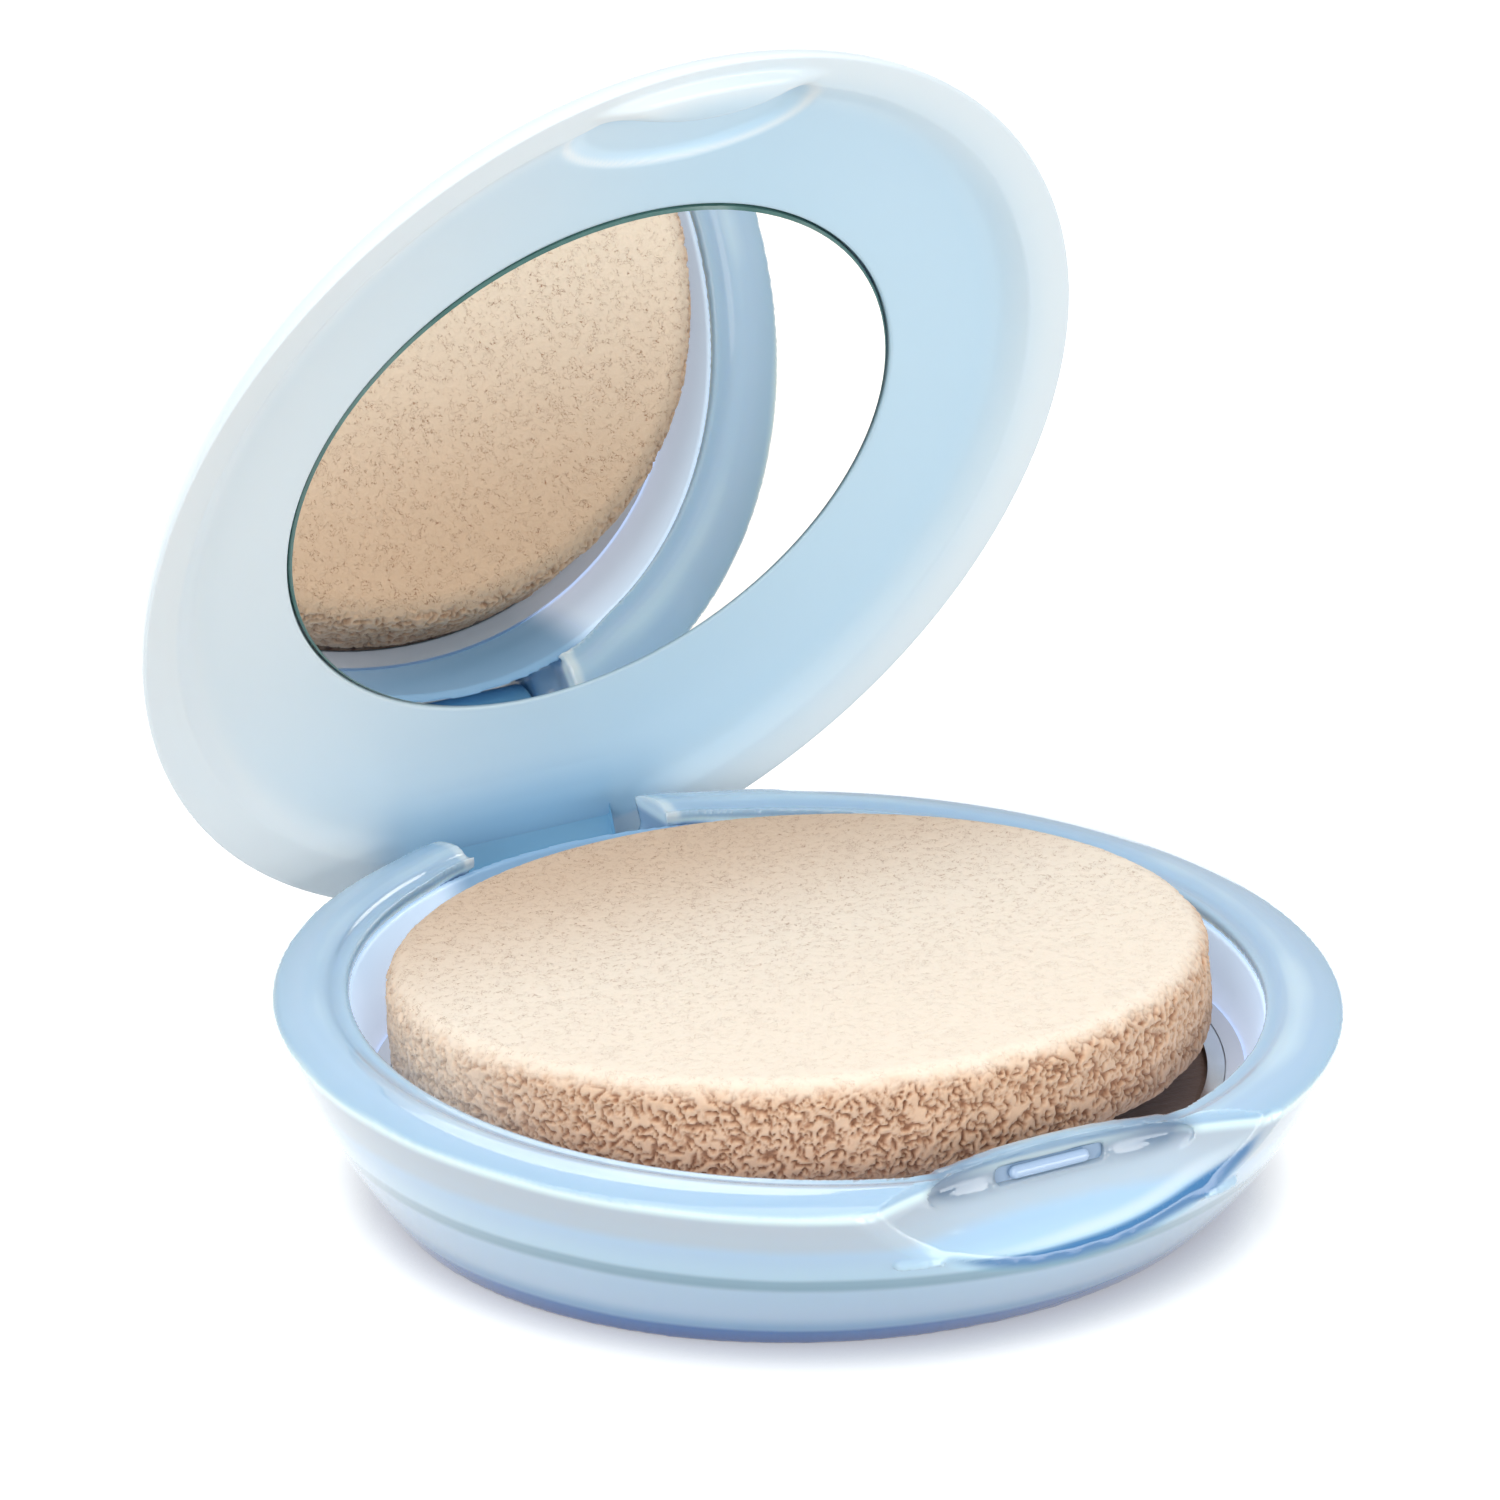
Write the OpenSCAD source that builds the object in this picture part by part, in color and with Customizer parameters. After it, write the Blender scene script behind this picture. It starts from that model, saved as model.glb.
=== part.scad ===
// Oval pressed-powder compact: hinged mirror lid, powder refill and sponge.
// Millimetres. +Z is up, the hinge is at +Y, the thumb scoop is at -Y.
// The origin is the centre of the round foot, on the surface it stands on.

/* [Base] */
// depth of the rim oval over its width
rim_ratio = 1.11; // [1.1:0.005:1.13]
// height of the edge where base and lid meet
parting_height = 14; // [13.8:0.1:14.4]
// how far the round foot stands outside the pan's edge
foot_margin = 0.3; // [0.1:0.1:0.9]
// how full the outer wall swells between foot and rim
wall_bulge = 0.45; // [0.4:0.01:0.55]
// width of the flat band between the rim edge and the opening
rim_band = 5.73; // [5.6:0.05:5.9]
// how much wider than the round well the opening is, on each side
well_flare = 0.17; // [0.1:0.01:0.3]
// height of the soft crest on the rim band above its edge
crest_rise = 0.85; // [0.6:0.05:0.9]
// height that the wall behind the scoop stands above the rim edge
front_wall_rise = 1; // [0.7:0.05:1.1]
// thickness of the wall behind the scoop
front_wall = 1.1; // [1:0.05:1.2]
// distance of the wall behind the scoop from the round well
front_wall_gap = 1.3; // [1.2:0.05:1.5]
// depth of the ring groove under the foot
foot_groove = 0.5; // [0.4:0.05:0.6]

/* [Thumb scoop] */
// half width of the hollow that forms the scoop
scoop_half_width = 23.7; // [23:0.1:24.5]
// how far the hollow reaches inward from its centre
scoop_reach = 11; // [10.8:0.1:11]
// half height of the hollow
scoop_half_height = 13.1; // [12.8:0.1:13.4]
// height of the hollow's centre above the rim edge
scoop_rise = 3; // [2.8:0.1:3.2]
// width of the pocket for the catch
catch_width = 9; // [8.6:0.1:9.4]
// height of the pocket for the catch
catch_height = 1.35; // [1.3:0.05:1.45]
// length of the rounded catch bar
catch_bar_length = 6.5; // [6.2:0.1:6.8]
// diameter of the rounded catch bar
catch_bar = 1; // [0.9:0.05:1.1]
// distance of the pocket's middle below the rim edge
catch_drop = 1; // [0.9:0.05:1.1]

/* [Refill] */
// radius of the metal pan at its rim
pan_radius = 30.5; // [30.2:0.1:30.6]
// height of the pan rim above the table
pan_height = 8; // [7.8:0.1:8.2]
// depth of the pan
pan_depth = 3.6; // [3.4:0.1:3.8]
// thickness of the pressed metal
pan_metal = 0.35; // [0.3:0.05:0.4]
// width of the plastic tray rim around the pan
tray_rim = 1.45; // [1.4:0.05:1.5]
// thickness of the tray floor
tray_floor = 0.8; // [0.7:0.05:0.9]
// depth of the powder surface below the pan rim
powder_drop = 0.5; // [0.4:0.05:0.6]
// thickness of the silver inner cup
liner_wall = 0.7; // [0.6:0.05:0.8]
// gap all round the tray in the inner cup
tray_gap = 0.15; // [0.1:0.01:0.2]

/* [Sponge] */
// how much smaller than the pan the sponge is, all round
sponge_margin = 0.5; // [0.4:0.1:0.9]
// thickness of the sponge
sponge_thickness = 8.2; // [8:0.1:8.6]
// rounding of the sponge's edge
sponge_round = 2; // [1.6:0.1:2.4]
// how far the sponge's front is tipped up, in degrees
sponge_tip = 2.9; // [2.5:0.1:3.2]

/* [Hinge] */
// distance of the hinge axis in front of the rim's back edge
hinge_inset = 4.56; // [4.4:0.02:4.7]
// height of the hinge axis
hinge_height = 7.79; // [7.7:0.01:7.9]
// half width of the notch for the hinge knuckle
notch_half_width = 7.2; // [7:0.1:7.4]
// gap on each side of the knuckle
knuckle_gap = 0.25; // [0.2:0.01:0.3]
// radius of the knuckle barrel
barrel_radius = 2.2; // [2.1:0.05:2.3]
// radius of the hinge pins
pin_radius = 0.8; // [0.75:0.01:0.85]
// running clearance of the pins in the knuckle
pin_clearance = 0.04; // [0.03:0.01:0.06]
// length of each hinge pin
pin_length = 9; // [8.6:0.1:9.4]
// width of each hinge lug
lug_width = 5.4; // [5.2:0.1:5.8]
// wall of the lug around the pin
lug_wall = 1.6; // [1.5:0.05:1.7]
// opening angle of the lid as it stands, in degrees
lid_angle = 64; // [60:1:68]

/* [Lid] */
// height of the lid's dome above its edge
lid_rise = 9.4; // [9.2:0.1:9.8]
// gap between the closed lid's edge and the rim edge
lid_gap = 0.3; // [0.25:0.01:0.4]
// thickness of the lid's outer shell
lid_wall = 1.1; // [1:0.05:1.2]
// width of the flange round the lid's inside
flange_width = 3.2; // [3.1:0.05:3.4]
// radius of the mirror
mirror_radius = 24.73; // [24.5:0.05:25]
// thickness of the mirror glass
mirror_glass_thickness = 1.2; // [1.1:0.05:1.3]
// height of the mirror's face above the rim edge when closed
mirror_rise = 3.98; // [3.9:0.02:4.1]
// gap round the mirror in its seat
mirror_gap = 0.2; // [0.15:0.01:0.25]
// thickness of the adhesive pad behind the mirror
pad_thickness = 0.2; // [0.15:0.01:0.25]
// half width of the recess inside the lid's front
lens_half_width = 10.3; // [9.8:0.1:10.8]
// half depth of that recess
lens_half_depth = 5; // [4.8:0.1:5.2]
// distance of that recess's middle from the lid's front edge
lens_inset = 6.88; // [6.7:0.02:7]
// how far the lifting tongue hangs below the lid's edge
tongue_drop = 1.7; // [1.6:0.05:1.9]

/* [Hidden] */
$fn = 96;
seam = 0.1;
over = 1;
wall_slices = 6;
wall_facets = 72;
slice = 0.02;
// refill, from the pan outward
tray_radius = pan_radius + tray_rim;
well_radius = tray_radius + tray_gap;
open_half_width = well_radius + well_flare;
rim_half_width = open_half_width + rim_band;
rim_half_depth = rim_half_width * rim_ratio;
open_half_depth = rim_half_depth - rim_band;
foot_radius = pan_radius + foot_margin;
tray_height = pan_height;
pan_lip = 0.9;
pan_cup_radius = pan_radius - pan_lip;
pan_floor_z = pan_height - pan_depth;
tray_floor_z = pan_floor_z - tray_floor;
tray_taper = 1.9;
tray_skirt = 1.2;
liner_floor_z = tray_floor_z;
liner_base_z = liner_floor_z - liner_wall;
liner_top = parting_height - 0.5;
lip_cover = 0.5;
// thumb scoop
scoop_z = parting_height + scoop_rise;
front_wall_inside = well_radius + front_wall_gap;
front_wall_outside = front_wall_inside + front_wall;
scoop_offset = front_wall_outside + scoop_reach;
inner_arc_half = 11;
inner_arc_sag = 0.85;
inner_arc_radius = (inner_arc_half * inner_arc_half + inner_arc_sag * inner_arc_sag) / (2 * inner_arc_sag);
top_arc_half = 14;
top_arc_radius = (top_arc_half * top_arc_half + front_wall_rise * front_wall_rise) / (2 * front_wall_rise);
front_wall_top = parting_height + front_wall_rise;
panel_half_width = 11;
panel_depth = 1.6;
panel_half_height = 2.2;
catch_z = parting_height - catch_drop;
catch_depth = 0.6;
catch_bar_inset = catch_depth + 0.1 - catch_bar / 2;
// hinge
hinge_back = rim_half_depth - hinge_inset;
barrel_half_width = notch_half_width - knuckle_gap;
lug_radius = pin_radius + lug_wall;
bore_radius = pin_radius + pin_clearance;
notch_front = hinge_back - barrel_radius - 0.45;
notch_floor = hinge_height - barrel_radius - 0.9;
notch_edge = rim_half_depth * sqrt(1 - pow(notch_half_width / rim_half_width, 2));
relief_radius = sqrt(pow(notch_edge - hinge_back, 2) + pow(parting_height - hinge_height, 2)) + 0.2;
relief_half_width = 16;
pin_inset = 0.4;
pin_outer = notch_half_width + lug_width - pin_inset;
// lid, in the closed position
lid_edge_z = parting_height + lid_gap;
lid_top = lid_edge_z + lid_rise;
frame_radius = rim_half_width - flange_width;
mirror_face_z = parting_height + mirror_rise;
mirror_back_z = mirror_face_z + mirror_glass_thickness;
pad_back_z = mirror_back_z + pad_thickness;
pad_radius = mirror_radius - 3;
seat_radius = mirror_radius + mirror_gap;
frame_back_z = pad_back_z + 0.6;

frame_start_z = lid_edge_z + crest_rise;
frame_dish = 3.93;
frame_dish_radius = frame_radius + 0.1;
lens_back = rim_half_depth - lens_inset;
lens_skin = 0.5;
tongue_inset = 2.78;
tongue_back = rim_half_depth - tongue_inset;
tongue_half_width = 10;
tongue_reach = 3.7;
tongue_top = frame_start_z - 0.05;
// sponge
sponge_radius = pan_radius - sponge_margin;
sponge_back = 0.93;
sponge_clearance = 0.5;
powder_top = pan_height - powder_drop;
sponge_middle = powder_top + sponge_clearance + sponge_thickness / 2 + sponge_radius * sin(sponge_tip);

function wall_mix(t) = t + wall_bulge * t * (1 - t);

module oval(half_width, half_depth, height, facets = 96)
  scale([half_width, half_depth, 1])
    cylinder(r = 1, h = height, $fn = facets);

module outer_body()
  hull()
    for (i = [0:wall_slices]) {
      t = i / wall_slices;
      w = wall_mix(t);
      translate([0, 0, t * (parting_height - slice)])
        oval(foot_radius + (rim_half_width - foot_radius) * w,
             foot_radius + (rim_half_depth - foot_radius) * w, slice, wall_facets);
    }

// soft crest, groove and inner lip on the rim band
module rim_crest()
  scale([1, rim_ratio, 1])
    rotate_extrude()
      polygon([
        [open_half_width - over, parting_height - over],
        [rim_half_width - 1.2, parting_height - over],
        [rim_half_width, parting_height - slice],
        [rim_half_width - 0.25, parting_height + crest_rise * 0.16],
        [rim_half_width - 1.1, parting_height + crest_rise * 0.5],
        [rim_half_width - 2.2, parting_height + crest_rise * 0.84],
        [rim_half_width - 3.2, parting_height + crest_rise],
        [rim_half_width - 3.9, parting_height + crest_rise * 0.93],
        [rim_half_width - 4.4, parting_height + crest_rise * 0.6],
        [rim_half_width - 4.8, parting_height + crest_rise * 0.55],
        [rim_half_width - 5.2, parting_height + crest_rise * 0.7],
        [rim_half_width - 5.6, parting_height + crest_rise * 0.62],
        [open_half_width, parting_height + crest_rise * 0.3],
        [open_half_width - over, parting_height + crest_rise * 0.3]
      ]);

// the wall behind the scoop bulges inward on this arc
module inner_arc(gap, top)
  translate([0, -front_wall_inside - inner_arc_radius, -over])
    cylinder(r = inner_arc_radius + gap, h = top + 2 * over, $fn = 360);

module front_wall_block()
  intersection() {
    translate([-top_arc_half, -rim_half_depth, pan_height + over])
      cube([2 * top_arc_half, rim_half_depth - front_wall_inside + inner_arc_sag, parting_height]);
    translate([0, 0, front_wall_top - top_arc_radius])
      rotate([90, 0, 0])
        cylinder(r = top_arc_radius, h = rim_half_depth, $fn = 360);
    oval(rim_half_width - rim_band * 0.35, rim_half_depth - rim_band * 0.35, front_wall_top + over);
    inner_arc(0, front_wall_top);
  }

// a cup shape that runs from a round well to the oval opening
module well_space(grow, top)
  hull() {
    translate([0, 0, tray_height])
      cylinder(r = well_radius + grow, h = slice, $fn = wall_facets);
    translate([0, 0, top - slice])
      oval(open_half_width - seam + grow, open_half_depth - seam + grow, slice, wall_facets);
  }

module well_bottom(grow, floor_z)
  rotate_extrude()
    polygon([
      [0, floor_z],
      [well_radius - tray_taper + grow, floor_z],
      [well_radius + grow, tray_height - tray_skirt],
      [well_radius + grow, tray_height + slice],
      [0, tray_height + slice]
    ]);

module scoop_hollow()
  translate([0, -scoop_offset, scoop_z])
    scale([scoop_half_width, scoop_reach, scoop_half_height])
      sphere(r = 1);

module scoop_panel()
  translate([0, -front_wall_outside - panel_depth + 0.2, parting_height - 0.6])
    scale([panel_half_width, panel_depth, panel_half_height])
      sphere(r = 1);

module hinge_notch()
  translate([-notch_half_width, 0, 0])
    rotate([90, 0, 90])
      linear_extrude(2 * notch_half_width)
        polygon([
          [notch_front, notch_floor],
          [rim_half_depth + over, notch_floor - 1.5],
          [rim_half_depth + over, front_wall_top + over],
          [open_half_depth - 0.5, front_wall_top + over],
          [notch_front, hinge_height + 1.2]
        ]);

module along_hinge(from, length)
  translate([from, hinge_back, hinge_height])
    rotate([0, 90, 0])
      linear_extrude(length)
        children();

module foot_ring_groove()
  difference() {
    translate([0, 0, -over])
      cylinder(r = foot_radius - 3.2, h = over + foot_groove);
    translate([0, 0, -2 * over])
      cylinder(r = foot_radius - 5, h = 3 * over + foot_groove);
  }

module base_shell()
  color([0.69, 0.82, 0.93])
    difference() {
      union() {
        outer_body();
        rim_crest();
        front_wall_block();
        along_hinge(notch_half_width, lug_width)
          circle(r = lug_radius);
        along_hinge(-notch_half_width - lug_width, lug_width)
          circle(r = lug_radius);
      }
      difference() {
        union() {
          well_space(liner_wall + seam, liner_top + seam);
          well_bottom(liner_wall + seam, liner_base_z);
          translate([0, 0, liner_top])
            oval(open_half_width, open_half_depth, 3);
        }
        translate([0, 0, tray_height + 1.2])
          inner_arc(0, parting_height);
      }
      scoop_hollow();
      scoop_panel();
      translate([-catch_width / 2, -front_wall_outside - over, catch_z - catch_height / 2])
        cube([catch_width, over + catch_depth + 0.1, catch_height]);
      hinge_notch();
      along_hinge(-pin_outer, 2 * pin_outer)
        circle(r = pin_radius);
      foot_ring_groove();
    }

module base_liner()
  color([0.87, 0.89, 0.94])
    difference() {
      union() {
        well_space(liner_wall, liner_top);
        well_bottom(liner_wall, liner_base_z);
      }
      well_space(0, liner_top + slice);
      well_bottom(0, liner_floor_z);
      translate([0, 0, tray_height + 1.2])
        inner_arc(seam, parting_height);
    }

module catch_clip()
  color([0.72, 0.8, 0.93]) {
    translate([-catch_width / 2 + seam, -front_wall_outside + 0.35, catch_z - catch_height / 2 + seam])
      cube([catch_width - 2 * seam, catch_depth - 0.25, catch_height - 2 * seam]);
    translate([-catch_bar_length / 2 + catch_bar / 2, -front_wall_outside + catch_bar_inset, catch_z])
      rotate([0, 90, 0])
        cylinder(r = catch_bar / 2, h = catch_bar_length - catch_bar);
    for (side = [-1, 1])
      translate([side * (catch_bar_length - catch_bar) / 2, -front_wall_outside + catch_bar_inset, catch_z])
        sphere(r = catch_bar / 2);
  }

module refill_tray()
  color([0.86, 0.89, 0.93])
    rotate_extrude()
      polygon([
        [0, tray_floor_z],
        [tray_radius - tray_taper, tray_floor_z],
        [tray_radius, tray_height - tray_skirt],
        [tray_radius, tray_height],
        [pan_radius + seam, tray_height],
        [pan_radius + seam, tray_height - pan_metal - seam],
        [pan_cup_radius + seam, tray_height - pan_metal - seam],
        [pan_cup_radius + seam, pan_floor_z],
        [0, pan_floor_z]
      ]);

module powder_pan()
  color([0.8, 0.81, 0.83])
    rotate_extrude()
      polygon([
        [0, pan_floor_z],
        [pan_cup_radius, pan_floor_z],
        [pan_cup_radius, pan_height - pan_metal],
        [pan_radius, pan_height - pan_metal],
        [pan_radius, pan_height],
        [pan_cup_radius - pan_metal, pan_height],
        [pan_cup_radius - pan_metal, pan_floor_z + pan_metal],
        [0, pan_floor_z + pan_metal]
      ]);

module powder_cake()
  color([0.5, 0.41, 0.37])
    rotate_extrude()
      polygon([
        [0, pan_floor_z + pan_metal],
        [pan_cup_radius - pan_metal, pan_floor_z + pan_metal],
        [pan_cup_radius - pan_metal, powder_top - 0.2],
        [pan_cup_radius - pan_metal - 0.5, powder_top],
        [0, powder_top]
      ]);

module hinge_pin_right()
  color([0.75, 0.76, 0.78])
    along_hinge(pin_outer - pin_length, pin_length)
      circle(r = pin_radius);

module hinge_pin_left()
  color([0.75, 0.76, 0.78])
    along_hinge(-pin_outer, pin_length)
      circle(r = pin_radius);

// turns a piece drawn in the closed position to where the lid stands
module opened()
  translate([0, hinge_back, hinge_height])
    rotate([-lid_angle, 0, 0])
      translate([0, -hinge_back, -hinge_height])
        children();

module lens_recess()
  intersection() {
    translate([0, -lens_back, lid_edge_z - 0.2])
      oval(lens_half_width, lens_half_depth, lid_rise);
    half_dome(rim_half_width - lid_wall - seam - lens_skin, rim_half_depth - lid_wall - seam - lens_skin,
              lid_rise - lid_wall - seam - lens_skin, lid_edge_z - 0.2);
  }

// keeps the lid clear of the rim beside the notch while it swings
module swing_relief()
  along_hinge(-relief_half_width, 2 * relief_half_width)
    circle(r = relief_radius);

module hinge_arm()
  translate([-barrel_half_width, 0, 0])
    rotate([90, 0, 90])
      linear_extrude(2 * barrel_half_width)
        polygon([
          [hinge_back - barrel_radius + 0.1, hinge_height + 0.6],
          [hinge_back + barrel_radius - 0.1, hinge_height - 0.6],
          [hinge_back + 2.5, hinge_height + 3.4],
          [hinge_back + 2.2, frame_start_z + 0.1],
          [hinge_back + 1.2, frame_start_z + 1.2],
          [hinge_back - 1, frame_start_z + 2],
          [hinge_back - 3.2, frame_start_z + 2.4],
          [hinge_back - 2.6, frame_start_z + 1.65],
          [hinge_back + 0.25, frame_start_z - 0.75],
          [hinge_back - 0.1, parting_height - 0.9],
          [hinge_back - 0.7, hinge_height + 3.4]
        ]);

// lip inside the lid's front that the thumb lifts
module tongue()
  intersection() {
    translate([0, -tongue_back, lid_edge_z + 0.2])
      scale([tongue_half_width, tongue_reach, tongue_drop + 0.2])
        sphere(r = 1);
    translate([0, 0, parting_height - 2 * over])
      oval(rim_half_width - lid_wall - 3 * seam, rim_half_depth - lid_wall - 3 * seam,
           tongue_top - parting_height + 2 * over);
  }

// upper half of an ellipsoid that stands on the plane at z
module half_dome(half_width, half_depth, rise, z)
  intersection() {
    translate([0, 0, z])
      scale([half_width, half_depth, rise])
        sphere(r = 1);
    translate([-half_width - over, -half_depth - over, z])
      cube([2 * (half_width + over), 2 * (half_depth + over), rise + over]);
  }

// slopes the lid's edge inward like the rim band under it
module flange_slope()
  scale([1, rim_ratio, 1])
    translate([0, 0, lid_edge_z - slice])
      cylinder(r1 = rim_half_width - 0.3, r2 = frame_radius - 0.2, h = crest_rise + slice);

module lid_shell()
  color([0.76, 0.87, 0.94])
    opened()
      difference() {
        half_dome(rim_half_width, rim_half_depth, lid_rise, lid_edge_z);
        half_dome(rim_half_width - lid_wall, rim_half_depth - lid_wall, lid_rise - lid_wall, lid_edge_z - slice);
        flange_slope();
        swing_relief();
      }

// dished inner frame that carries the mirror and runs out to the lid's edge
module frame_body()
  difference() {
    intersection() {
      half_dome(rim_half_width - lid_wall - seam, rim_half_depth - lid_wall - seam,
                lid_rise - lid_wall - seam, lid_edge_z);
      translate([0, 0, lid_edge_z])
        oval(rim_half_width, rim_half_depth, frame_back_z - lid_edge_z);
    }
    flange_slope();
    translate([0, 0, frame_start_z - slice])
      scale([frame_dish_radius, frame_dish_radius * rim_ratio, frame_dish])
        sphere(r = 1);
    swing_relief();
  }

module lid_frame()
  color([0.73, 0.84, 0.92])
    opened()
      difference() {
        union() {
          frame_body();
          tongue();
          hinge_arm();
          along_hinge(-barrel_half_width, 2 * barrel_half_width)
            circle(r = barrel_radius);
        }
        lens_recess();
        translate([0, 0, frame_start_z + frame_dish - 3.2 * over])
          cylinder(r = seat_radius, h = pad_back_z - frame_start_z - frame_dish + 3.2 * over);
        along_hinge(-barrel_half_width - over, 2 * (barrel_half_width + over))
          circle(r = bore_radius);
      }

module mirror_pad()
  color([0.55, 0.56, 0.58])
    opened()
      translate([0, 0, mirror_back_z])
        cylinder(r = pad_radius, h = pad_thickness);

module mirror_glass()
  color([0.8, 0.83, 0.85])
    opened()
      rotate_extrude()
        polygon([
          [0, mirror_face_z],
          [mirror_radius - 0.2, mirror_face_z],
          [mirror_radius, mirror_face_z + 0.2],
          [mirror_radius, mirror_back_z],
          [0, mirror_back_z]
        ]);

module sponge()
  color([0.95, 0.9, 0.83])
    translate([0, sponge_back, sponge_middle])
      rotate([-sponge_tip, 0, 0])
        rotate_extrude()
          polygon(concat(
            [[0, -sponge_thickness / 2]],
            [for (a = [0:15:90]) [sponge_radius - sponge_round + sponge_round * sin(a),
                                  -sponge_thickness / 2 + sponge_round * (1 - cos(a))]],
            [for (a = [0:15:90]) [sponge_radius - sponge_round + sponge_round * cos(a),
                                  sponge_thickness / 2 - sponge_round * (1 - sin(a))]],
            [[0, sponge_thickness / 2]]));

base_shell();
base_liner();
catch_clip();
refill_tray();
powder_pan();
powder_cake();
hinge_pin_left();
hinge_pin_right();
lid_shell();
lid_frame();
mirror_pad();
mirror_glass();
sponge();
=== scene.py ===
"""Dresses the oval powder compact: glossy blue plastic, silver cup, powder, mirror and porous sponge."""
import bpy
import math
import numpy as np
from mathutils import Matrix, Vector


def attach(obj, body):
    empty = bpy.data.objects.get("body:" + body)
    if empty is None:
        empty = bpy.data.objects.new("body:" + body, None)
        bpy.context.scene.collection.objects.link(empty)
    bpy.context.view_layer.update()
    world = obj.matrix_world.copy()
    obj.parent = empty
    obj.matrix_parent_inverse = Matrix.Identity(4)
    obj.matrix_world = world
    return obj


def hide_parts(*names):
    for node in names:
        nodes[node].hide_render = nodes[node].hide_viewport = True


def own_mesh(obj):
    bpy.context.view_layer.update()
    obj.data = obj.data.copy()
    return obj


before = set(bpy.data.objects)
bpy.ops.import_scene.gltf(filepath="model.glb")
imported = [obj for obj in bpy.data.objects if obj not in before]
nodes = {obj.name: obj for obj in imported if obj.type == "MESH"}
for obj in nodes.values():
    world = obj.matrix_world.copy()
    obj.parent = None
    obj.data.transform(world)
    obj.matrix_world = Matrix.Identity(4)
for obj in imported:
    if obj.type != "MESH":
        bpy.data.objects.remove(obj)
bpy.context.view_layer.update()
scene = bpy.context.scene

# Sizes in millimetres, as in the part's source. MM turns them into metres.
MM = 0.001
RIM_RATIO = 1.11
RIM_HALF_WIDTH = 38.0
RIM_HALF_DEPTH = RIM_HALF_WIDTH * RIM_RATIO
RIM_BAND = 5.73
PARTING = 14.0
FOOT_RADIUS = 30.8
WALL_BULGE = 0.45
CREST_RISE = 0.85
WELL_RADIUS = 32.1
PAN_HEIGHT = 8.0
LINER_WALL = 0.7
LINER_TOP = 13.5
FRONT_WALL_INSIDE = 33.4
FRONT_WALL = 1.1
FRONT_WALL_OUTSIDE = FRONT_WALL_INSIDE + FRONT_WALL
SCOOP_CENTRE = np.array((0, -FRONT_WALL_OUTSIDE - 11, 17.0))
SCOOP_HALF = np.array((23.7, 11.0, 13.1))
PANEL_CENTRE = np.array((0, -FRONT_WALL_OUTSIDE - 1.4, 13.4))
PANEL_HALF = np.array((11.0, 1.6, 2.2))
POCKET_HALF_WIDTH = 5
POCKET_FLOOR = 12.1
CATCH_FACE = -34.3
HINGE = np.array((0.0, 37.62, 7.79))
BARREL_HALF_WIDTH = 6.95
# The rim's ends stand this much further apart than in the solid, and the knuckle's top is this wide.
NOTCH_EASE = 1.35
KNUCKLE_FLARE = 8.0
LID_ANGLE = math.radians(64)
LID_EDGE = 14.3
LID_RISE = 9.4
LID_WALL = 1.6
DISH_RADIUS = 34.9
DISH_RISE = 3.93
DISH_START = LID_EDGE + CREST_RISE
MIRROR_SEAT_RADIUS = 24.93
MIRROR_SEAT = 19.38
SPONGE_RADIUS = 30.0
SPONGE_THICKNESS = 8.2
SPONGE_ROUND = 2.0
SPONGE_TIP = math.radians(2.9)
SPONGE_CENTRE = np.array((0.0, 0.93, 13.62))

# How finely the moulded parts are rebuilt, and how often their points are smoothed.
BASE_VOXEL = 0.26
CUP_VOXEL = 0.24
SOFT_PASSES = 5
SEAM_PASSES = 48


# ---------------------------------------------------------------- shapes
def smooth(low, high, x):
    """Goes smoothly from 0 at low to 1 at high."""
    t = np.clip((x - low) / (high - low), 0, 1)
    return t * t * (3 - 2 * t)


def opened(points):
    """Points of the closed lid, in millimetres, to where the lid stands."""
    turn = np.array(Matrix.Rotation(-LID_ANGLE, 3, "X"))
    return (points - HINGE) @ turn.T + HINGE


def gradient_noise(points, seed):
    """Smooth noise at the points, roughly from -0.7 to 0.7, that repeats every 64 cells."""
    table = np.random.default_rng(seed).normal(size=(64, 64, 64, 3))
    table /= np.linalg.norm(table, axis=-1, keepdims=True)
    cell = np.floor(points).astype(int)
    f = points - cell
    u = f * f * f * (f * (6 * f - 15) + 10)
    total = 0
    for corner in np.ndindex(2, 2, 2):
        c = np.array(corner)
        i = (cell + c) % 64
        slope = table[i[:, 0], i[:, 1], i[:, 2]]
        weight = np.prod(np.where(c, u, 1 - u), axis=1)
        total = total + weight * np.einsum("ij,ij->i", slope, f - c)
    return total


def make_object(name, points, faces, material):
    """A smooth-shaded object from points in millimetres."""
    mesh = bpy.data.meshes.new(name)
    mesh.from_pydata((np.asarray(points) * MM).tolist(), [], faces)
    mesh.validate()
    mesh.shade_smooth()
    mesh.materials.append(material)
    ob = bpy.data.objects.new(name, mesh)
    scene.collection.objects.link(ob)
    return ob


def grid_faces(rows, columns):
    """Faces of rows of points that each close into a ring."""
    r = np.arange(rows - 1)[:, None] * columns
    c = np.arange(columns)[None, :]
    n = (c + 1) % columns
    return np.stack([r + c, r + n, r + columns + n, r + columns + c], axis=-1).reshape(-1, 4).tolist()


def ring_faces(rings):
    """Faces of a stack of equal rings whose first and last are closed by a point each."""
    rows, columns = rings.shape[:2]
    points = rings.reshape(-1, 3)
    first, last = len(points), len(points) + 1
    points = np.vstack([points, rings[0].mean(axis=0), rings[-1].mean(axis=0)])
    faces = grid_faces(rows, columns)
    for k in range(columns):
        n = (k + 1) % columns
        faces.append((first, n, k))
        faces.append((last, (rows - 1) * columns + k, (rows - 1) * columns + n))
    return points, faces


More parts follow.
